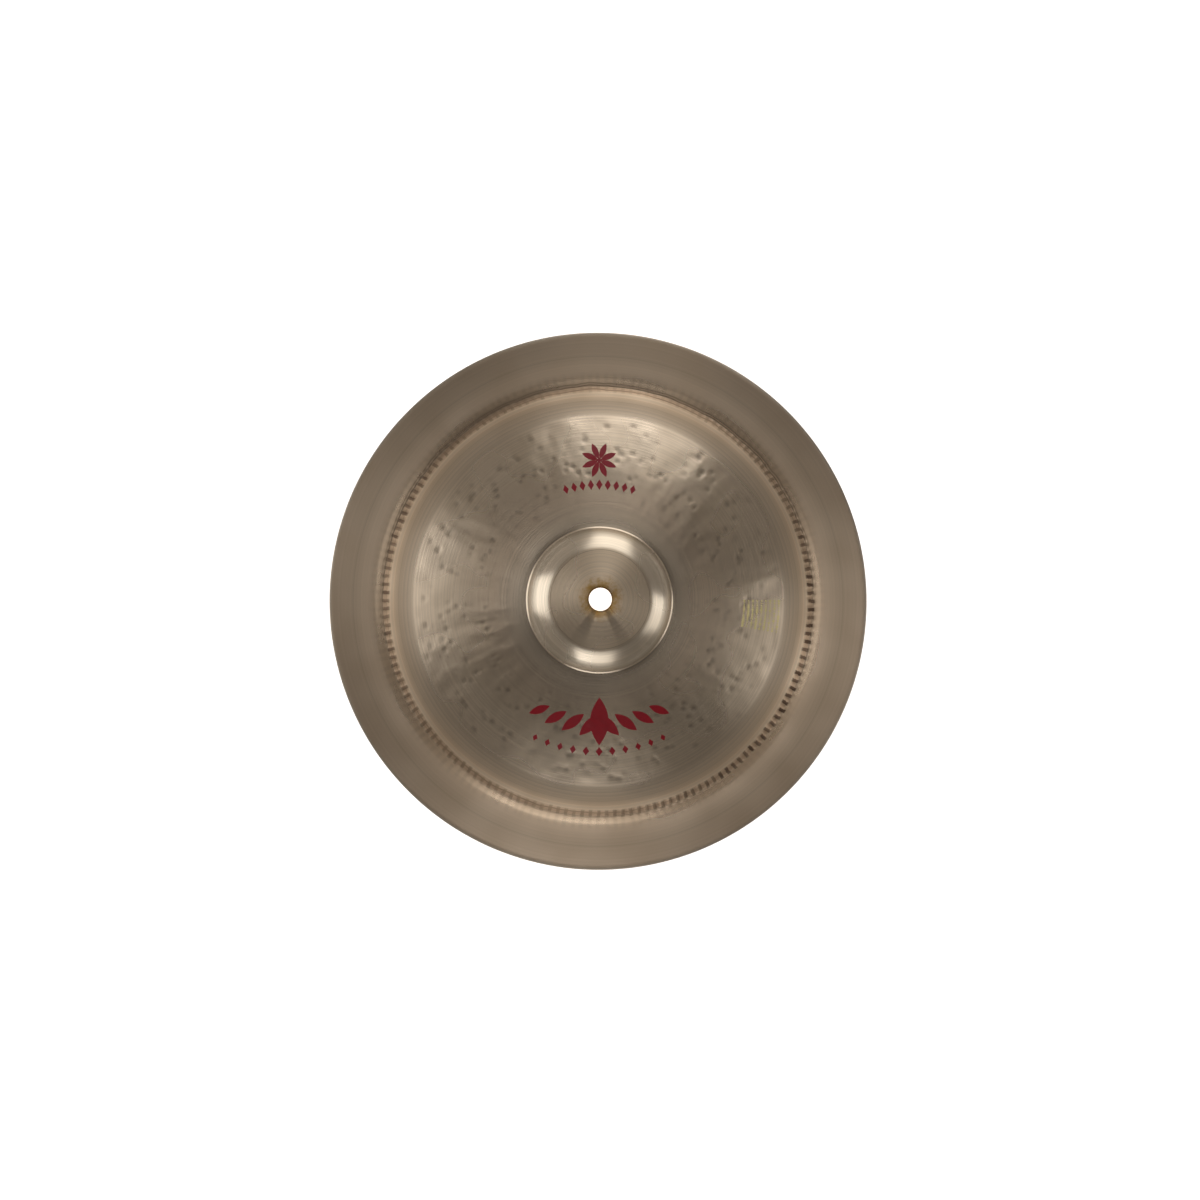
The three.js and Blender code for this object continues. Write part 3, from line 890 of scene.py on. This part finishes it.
def lathed_bronze(name, colours, finish, radii, crimp_count):
    """Cast tin bronze, hammered, lathed and left raw.

    The eye sees fine rings round the centre that draw each highlight out into a fan, dull brown patches,
    a golden stain round the hole, painted dark wedges down the bell's top, painted shade in the bends and
    the hammer dents, painted shadows of the crimps, dark lines in the groove and oxide in its crimps."""
    crimp_darkness, mark_shade = 0.8, 0.36
    material = bpy.data.materials.new(name)
    material.use_nodes = True
    tree = material.node_tree
    shader = tree.nodes["Principled BSDF"]
    place = add_node(tree, "ShaderNodeTexCoord").outputs["Object"]
    radius, turn, outwards = polar(tree, place)
    around = add_node(tree, VECTOR_MATH, ((0, 0, 1), outwards), operation="CROSS_PRODUCT")
    rings, streaked = lathe_rings(tree, finish, radii, place, radius)
    bump = add_node(tree, "ShaderNodeBump", {"Strength": 1.0, "Distance": finish.ring_depth, "Height": rings})

    # Dull patches, one to three centimetres wide, then the tint of each zone, with painted light at the
    # bell's foot and rim, and of each ring
    patch_scale = 1 / finish.patch_size
    patches = add_node(tree, NOISE, {"Vector": place, "Scale": patch_scale, "Detail": 1.0, "Roughness": 0.5})
    dulled = add_node(tree, RANGE, (patches, 0.3, 0.7), interpolation_type="SMOOTHSTEP")
    bare = add_node(tree, MIX, (dulled, colours.bronze, colours.patina), data_type="RGBA")
    zones = radial_ramp(tree, radius, radii["rim"], zone_tints_and_painted_light(radii))
    zoned = add_node(tree, VECTOR_MATH, (bare, zones), operation="MULTIPLY")
    ringed = add_node(tree, VECTOR_MATH, (zoned, streaked), operation="MULTIPLY")

    # Golden brown stain round the hole, ragged and speckled
    stain_scale = 1 / finish.stain_grain
    ragged = add_node(tree, NOISE, {"Vector": place, "Scale": stain_scale, "Detail": 4.0, "Roughness": 0.7})
    strayed = add_node(tree, MATH, (ragged, finish.stain_stray, radius), operation="MULTIPLY_ADD")
    stain_ends = (strayed, finish.stain_edge, finish.stain_full)
    stain = add_node(tree, RANGE, stain_ends, interpolation_type="SMOOTHSTEP")
    stained = add_node(tree, MIX, (stain, ringed, colours.tarnish), data_type="RGBA")

    # Dark oxide and painted shade: whichever is darkest of the dark lines and wedges, the crimps, and the
    # painted shade in the hammer marks
    strength = crimp_strength(tree, turn)
    uncrimped = add_node(tree, MATH, (1.0, strength), operation="SUBTRACT")
    lines = painted_shade_and_dark_lines(tree, finish, radii, place, radius, turn, uncrimped)
    crimps = crimp_oxide_and_shadows(tree, finish, radii, crimp_count, place, radius, turn, strength, uncrimped)
    in_crimps = add_node(tree, MATH, (crimps, crimp_darkness), operation="MULTIPLY")
    # Painted shade in the hammer dents, darkest where a dent is deepest
    hammer = add_node(tree, "ShaderNodeAttribute", attribute_name="hammer").outputs["Fac"]
    shade_in_marks = add_node(tree, MATH, (hammer, mark_shade), operation="MULTIPLY")
    lines_or_crimps = add_node(tree, MATH, (lines, in_crimps), operation="MAXIMUM")
    dark = add_node(tree, MATH, (lines_or_crimps, shade_in_marks), operation="MAXIMUM")
    colour = add_node(tree, MIX, (dark, stained, colours.oxide_and_shade), data_type="RGBA")

    smooth_or_rough = radial_ramp(tree, radius, radii["rim"], zone_roughness(radii))
    uneven = add_node(tree, RANGE, (patches, 0.25, 0.75, -0.03, 0.04), interpolation_type="SMOOTHSTEP")
    rough = add_node(tree, MATH, (smooth_or_rough, uneven), operation="ADD")
    shader.inputs["Metallic"].default_value = 1.0
    shader.inputs["Specular Tint"].default_value = tuple(colours.edge)
    shader.inputs["Anisotropic"].default_value = 0.68
    shader.inputs["Anisotropic Rotation"].default_value = 0.25
    tree.links.new(colour.outputs[2], shader.inputs["Base Color"])
    tree.links.new(rough.outputs[0], shader.inputs["Roughness"])
    tree.links.new(bump.outputs[0], shader.inputs["Normal"])
    tree.links.new(around.outputs[0], shader.inputs["Tangent"])
    return material


def screen_ink(name, colour, grain):
    """Screen-printed ink: a thin satin film, a little uneven where the mesh laid it down."""
    darkest_share = 0.55
    material = bpy.data.materials.new(name)
    material.use_nodes = True
    tree = material.node_tree
    shader = tree.nodes["Principled BSDF"]
    place = add_node(tree, "ShaderNodeTexCoord").outputs["Object"]
    outwards = away_from_axis(tree, place)[1]
    around = add_node(tree, VECTOR_MATH, ((0, 0, 1), outwards), operation="CROSS_PRODUCT")
    thin = add_node(tree, NOISE, {"Vector": place, "Scale": 1 / grain, "Detail": 2.0})
    share = add_node(tree, RANGE, (thin, 0.3, 0.75, 0.0, 0.35))
    darker = tuple(c * darkest_share for c in colour[:3]) + (1.0,)
    mixed = add_node(tree, MIX, (share, tuple(colour), darker), data_type="RGBA")
    rough = add_node(tree, RANGE, (thin, 0.0, 1.0, 0.26, 0.36))
    shader.inputs["Anisotropic"].default_value = 0.64
    shader.inputs["Anisotropic Rotation"].default_value = 0.25
    tree.links.new(mixed.outputs[2], shader.inputs["Base Color"])
    tree.links.new(rough.outputs[0], shader.inputs["Roughness"])
    tree.links.new(around.outputs[0], shader.inputs["Tangent"])
    return material


def stamped_metal(name, colour, grain):
    """Bronze freshly bared by a stamping die: brighter and yellower than the dulled sheet round it."""
    material = bpy.data.materials.new(name)
    material.use_nodes = True
    tree = material.node_tree
    shader = tree.nodes["Principled BSDF"]
    place = add_node(tree, "ShaderNodeTexCoord").outputs["Object"]
    spots = add_node(tree, NOISE, {"Vector": place, "Scale": 1 / grain, "Detail": 1.0})
    rough = add_node(tree, RANGE, (spots, 0.0, 1.0, 0.4, 0.6))
    shader.inputs["Metallic"].default_value = 0.4
    shader.inputs["Base Color"].default_value = tuple(colour)
    tree.links.new(rough.outputs[0], shader.inputs["Roughness"])
    return material


def pale_floor(name):
    """A sheet of white acrylic lit from below, as a studio table for cut-out pictures has."""
    material = bpy.data.materials.new(name)
    material.use_nodes = True
    shader = material.node_tree.nodes["Principled BSDF"]
    shader.inputs["Base Color"].default_value = linear("#F0F0EE")
    shader.inputs["Roughness"].default_value = 0.6
    shader.inputs["Emission Color"].default_value = linear("#FFFFFF")
    shader.inputs["Emission Strength"].default_value = 0.92
    return material


def joined(name, pieces):
    """Joins plain mesh objects into the first one and gives it a name."""
    target = pieces[0]
    work = bmesh.new()
    for piece in pieces:
        work.from_mesh(piece.data)
    work.to_mesh(target.data)
    work.free()
    for piece in pieces[1:]:
        bpy.data.objects.remove(piece)
    target.name = name
    return target


class CYMBAL_OT_stage(bpy.types.Operator):
    """Sets up the camera over the bell, the softboxes, a dim studio and a pale floor"""

    bl_idname = "cymbal.stage"
    bl_label = "Set the stage"

    def execute(self, context):
        scene = context.scene
        stage = scene.cymbal_stage
        sensor_width = 36.0
        camera_data = bpy.data.cameras.new("camera")
        camera_data.sensor_width = sensor_width
        camera_data.lens = sensor_width * stage.camera_distance / stage.frame_width
        camera = bpy.data.objects.new("camera", camera_data)
        scene.collection.objects.link(camera)
        lean = Vector((math.cos(stage.tilt_azimuth), math.sin(stage.tilt_azimuth), 0)) * math.sin(stage.tilt)
        away = lean + Vector((0, 0, math.cos(stage.tilt)))
        aim = Vector(stage.aim)
        up = Vector((0, 1, 0))
        right = up.cross(away).normalized()
        axes = Matrix((right, away.cross(right), away)).transposed()
        camera.matrix_world = Matrix.Translation(aim + away * stage.camera_distance) @ axes.to_4x4()
        scene.camera = camera

        # Softboxes: azimuth and elevation in degrees, width and height in metres, and relative brightness
        softboxes = [
            ("softbox_back", 77, 29.8, 1.17, 1.98, 1.5),
            ("softbox_left", 173, 32, 1.22, 1.95, 1.08),
            ("softbox_front", 267, 33.5, 1.16, 1.2, 1.4),
            ("softbox_right", 349, 31.1, 1.03, 1.46, 1.2),
            ("softbox_top", 88, 84.7, 0.45, 0.2, 1.2),
            ("overhead_back", 67, 77, 0.28, 0.5, 0.2),
            ("overhead_left", 168, 75, 0.28, 0.5, 0.14),
            ("overhead_right", 332, 75, 0.3, 0.5, 0.12),
        ]
        for name, azimuth, elevation, width, height, strength in softboxes:
            light_data = bpy.data.lights.new(name, "AREA")
            light_data.shape = "RECTANGLE"
            light_data.color = linear("#F1F8FF")[:3]
            light_data.size = width
            light_data.size_y = height
            light_data.energy = stage.softbox_radiance * strength * math.pi * width * height
            light = bpy.data.objects.new(name, light_data)
            light.visible_camera = False
            scene.collection.objects.link(light)
            bearing, rise = math.radians(azimuth), math.radians(elevation)
            level = Vector((math.cos(bearing), math.sin(bearing), 0)) * math.cos(rise)
            spot = level + Vector((0, 0, math.sin(rise)))
            light.location = spot * stage.softbox_distance
            light.rotation_euler = spot.to_track_quat("Z", "Y").to_euler()

        # The room is dark overhead, palest half way up, and brighter at the back and at the left
        half_way_up, straight_up = 0.7, 1.0
        world = bpy.data.worlds.new("studio")
        world.use_nodes = True
        tree = world.node_tree
        direction = add_node(tree, "ShaderNodeTexCoord").outputs["Generated"]
        split = add_node(tree, SPLIT, (direction,)).outputs
        climb = add_node(tree, RANGE, (split["Z"], 0.0, half_way_up, stage.horizon, stage.middle))
        dimming = (split["Z"], half_way_up, straight_up, 0.0, stage.overhead - stage.middle)
        dimmed = add_node(tree, RANGE, dimming)
        level = add_node(tree, MATH, (climb, dimmed), operation="ADD")
        behind = add_node(tree, MATH, (split["Y"], stage.one_sided), operation="MULTIPLY")
        sided = add_node(tree, MATH, (split["X"], -stage.one_sided, behind), operation="MULTIPLY_ADD")
        lit = add_node(tree, MATH, (level, sided), operation="ADD")
        seen = add_node(tree, "ShaderNodeLightPath").outputs["Is Camera Ray"]
        wall = add_node(tree, MATH, (seen, stage.backdrop), operation="MULTIPLY")
        shown = add_node(tree, MATH, (lit, wall), operation="MAXIMUM")
        background = tree.nodes["Background"]
        background.inputs["Color"].default_value = linear("#FFFDFA")
        tree.links.new(shown.outputs[0], background.inputs["Strength"])
        scene.world = world
        scene.view_settings.view_transform = "Standard"

        half = stage.floor_width / 2
        floor_mesh = bpy.data.meshes.new("floor")
        corners = [(-half, -half, 0), (half, -half, 0), (half, half, 0), (-half, half, 0)]
        floor_mesh.from_pydata(corners, [], [(0, 1, 2, 3)])
        floor = bpy.data.objects.new("floor", floor_mesh)
        scene.collection.objects.link(floor)
        floor_mesh.materials.append(pale_floor("lit_white_acrylic"))
        return {"FINISHED"}


class CYMBAL_OT_disc(bpy.types.Operator):
    """Turns the disc, then crimps its ridge and hammers its bow"""

    bl_idname = "cymbal.disc"
    bl_label = "Make the disc"

    def execute(self, context):
        scene = context.scene
        size, hammer = scene.cymbal_disc, scene.cymbal_hammer
        radii = zone_radii(size)
        bronze = lathed_bronze(
            "lathed_bronze", scene.cymbal_colours, scene.cymbal_finish, radii, hammer.crimp_count
        )
        disc = worked_mesh(
            "disc",
            turned_blank("turned_blank", size),
            hammering_tree(),
            {
                "Crimp count": hammer.crimp_count,
                "Crimp depth": hammer.crimp_depth,
                "Crimp inner": radii["ridge"],
                "Crimp outer": radii["fold"] + size.outer_wall / 3,
                "Bow inner": radii["apron"],
                "Bow outer": radii["bow"],
                "Mark spacing": hammer.mark_spacing,
                "Mark depth": hammer.mark_depth,
                "Wave width": hammer.wave_across,
                "Wave length": hammer.wave_along,
                "Wave depth": hammer.wave_depth,
                "Seed": hammer.seed,
                "Material": bronze,
            },
        )
        disc.data.shade_smooth()
        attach(disc, "root")
        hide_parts("cymbal")
        return {"FINISHED"}


class CYMBAL_OT_print(bpy.types.Operator):
    """Prints a leaf and lozenge ornament above and below the bell"""

    bl_idname = "cymbal.ink"
    bl_label = "Print the ornament"

    def execute(self, context):
        scene = context.scene
        tree = printed_row_tree()
        ink = screen_ink("screen_ink", scene.cymbal_colours.ink, scene.cymbal_finish.ink_grain)
        film = scene.cymbal_print.ink_film
        shared = {"Disc": bpy.data.objects["disc"], "Film": film, "Material": ink, "Seed": 1, "Jitter": 0.0}
        shared |= {"Points along": 25, "Points across": 7}
        down, up = math.radians(270), math.radians(90)
        leaf, lozenge = 2.0, 1.0
        centre, rosette = (0, 0, 0), (0, 79.4 * MM, 0)

        # Each row: count, centre, radius in mm, middle angle, step in degrees, half length and half width in
        # mm, fullness, lean in degrees, and how much smaller each motif is than the one nearer the middle
        rows = {
            "lower_ornament": [
                (1, centre, 68.5, down, 0, 13.5, 5.2, leaf, 0, 0),
                (8, centre, 70.5, down, 8.2, 9.0, 3.2, leaf, 42, 0.09),
                (11, centre, 85.5, down, 5.0, 2.6, 1.9, lozenge, 0, 0.05),
            ],
            "upper_ornament": [
                (8, rosette, 5.6, up, 45, 4.8, 1.7, leaf, 0, 0),
                (1, rosette, 0, up, 0, 1.6, 1.6, lozenge, 0, 0),
                (9, centre, 65.4, up, 4.2, 3.0, 1.8, lozenge, 0, 0.03),
            ],
        }
        for name, table in rows.items():
            pieces = []
            for row in table:
                count, middle, row_radius, angle, step, half_length, half_width, fullness, lean, taper = row
                values = {
                    "Count": count,
                    "Centre": middle,
                    "Row radius": row_radius * MM,
                    "Middle angle": angle,
                    "Step angle": math.radians(step),
                    "Half length": half_length * MM,
                    "Half width": half_width * MM,
                    "Fullness": fullness,
                    "Lean": math.radians(lean),
                    "Taper": taper,
                }
                blank = bpy.data.meshes.new("row_blank")
                pieces.append(worked_mesh(f"{name}_row", blank, tree, shared | values))
            ornament = joined(name, pieces)
            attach(ornament, "root")
        return {"FINISHED"}


class CYMBAL_OT_stamp(bpy.types.Operator):
    """Stamps a small field of plain dashes into the bow"""

    bl_idname = "cymbal.stamp"
    bl_label = "Stamp the bow"

    def execute(self, context):
        scene = context.scene
        size = scene.cymbal_print
        tree = printed_row_tree()
        shared = {
            "Count": size.row_dashes,
            "Centre": (0, 0, 0),
            "Middle angle": size.stamp_azimuth,
            "Step angle": size.dash_step,
            "Half length": size.dash_length / 2,
            "Half width": size.dash_width / 2,
            "Points along": 7,
            "Points across": 3,
            "Fullness": 2.0,
            "Lean": size.dash_lean,
            "Taper": 0.0,
            "Jitter": size.dash_jitter,
            "Disc": bpy.data.objects["disc"],
            "Film": size.stamp_film,
            "Material": stamped_metal(
                "stamped_bronze", scene.cymbal_colours.stamp, scene.cymbal_finish.stamp_grain
            ),
        }
        pieces = []
        for number in range(size.stamp_rows):
            values = {"Row radius": size.row_radius + number * size.row_pitch, "Seed": number}
            blank = bpy.data.meshes.new("row_blank")
            pieces.append(worked_mesh(f"stamp_row_{number}", blank, tree, shared | values))
        stamp = joined("stamped_dashes", pieces)
        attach(stamp, "root")
        return {"FINISHED"}


class CYMBAL_PT_panel(bpy.types.Panel):
    """The cymbal's sizes and the steps that make it"""

    bl_idname = "CYMBAL_PT_panel"
    bl_label = "China Cymbal"
    bl_space_type = "VIEW_3D"
    bl_region_type = "UI"
    bl_category = "Cymbal"

    def draw(self, context):
        layout = self.layout
        for operator in OPERATORS:
            layout.operator(operator.bl_idname)
        for name in SETTINGS:
            group = getattr(context.scene, name)
            box = layout.box()
            for label in group.__annotations__:
                box.prop(group, label)


SETTINGS = {
    "cymbal_disc": CymbalDiscSettings,
    "cymbal_hammer": CymbalHammerSettings,
    "cymbal_finish": CymbalFinishSettings,
    "cymbal_print": CymbalPrintSettings,
    "cymbal_colours": CymbalColourSettings,
    "cymbal_stage": CymbalStageSettings,
}
OPERATORS = (CYMBAL_OT_stage, CYMBAL_OT_disc, CYMBAL_OT_print, CYMBAL_OT_stamp)


def register():
    """Registers the settings, the operators and the panel."""
    for name, group in SETTINGS.items():
        bpy.utils.register_class(group)
        setattr(bpy.types.Scene, name, PointerProperty(type=group))
    for operator in (*OPERATORS, CYMBAL_PT_panel):
        bpy.utils.register_class(operator)


def unregister():
    """Takes them out again."""
    for operator in (CYMBAL_PT_panel, *reversed(OPERATORS)):
        bpy.utils.unregister_class(operator)
    for name, group in SETTINGS.items():
        delattr(bpy.types.Scene, name)
        bpy.utils.unregister_class(group)


def main():
    """Makes the stage and the cymbal."""
    register()
    bpy.ops.cymbal.stage()
    bpy.ops.cymbal.disc()
    bpy.ops.cymbal.ink()
    bpy.ops.cymbal.stamp()


if __name__ == "__main__":
    main()
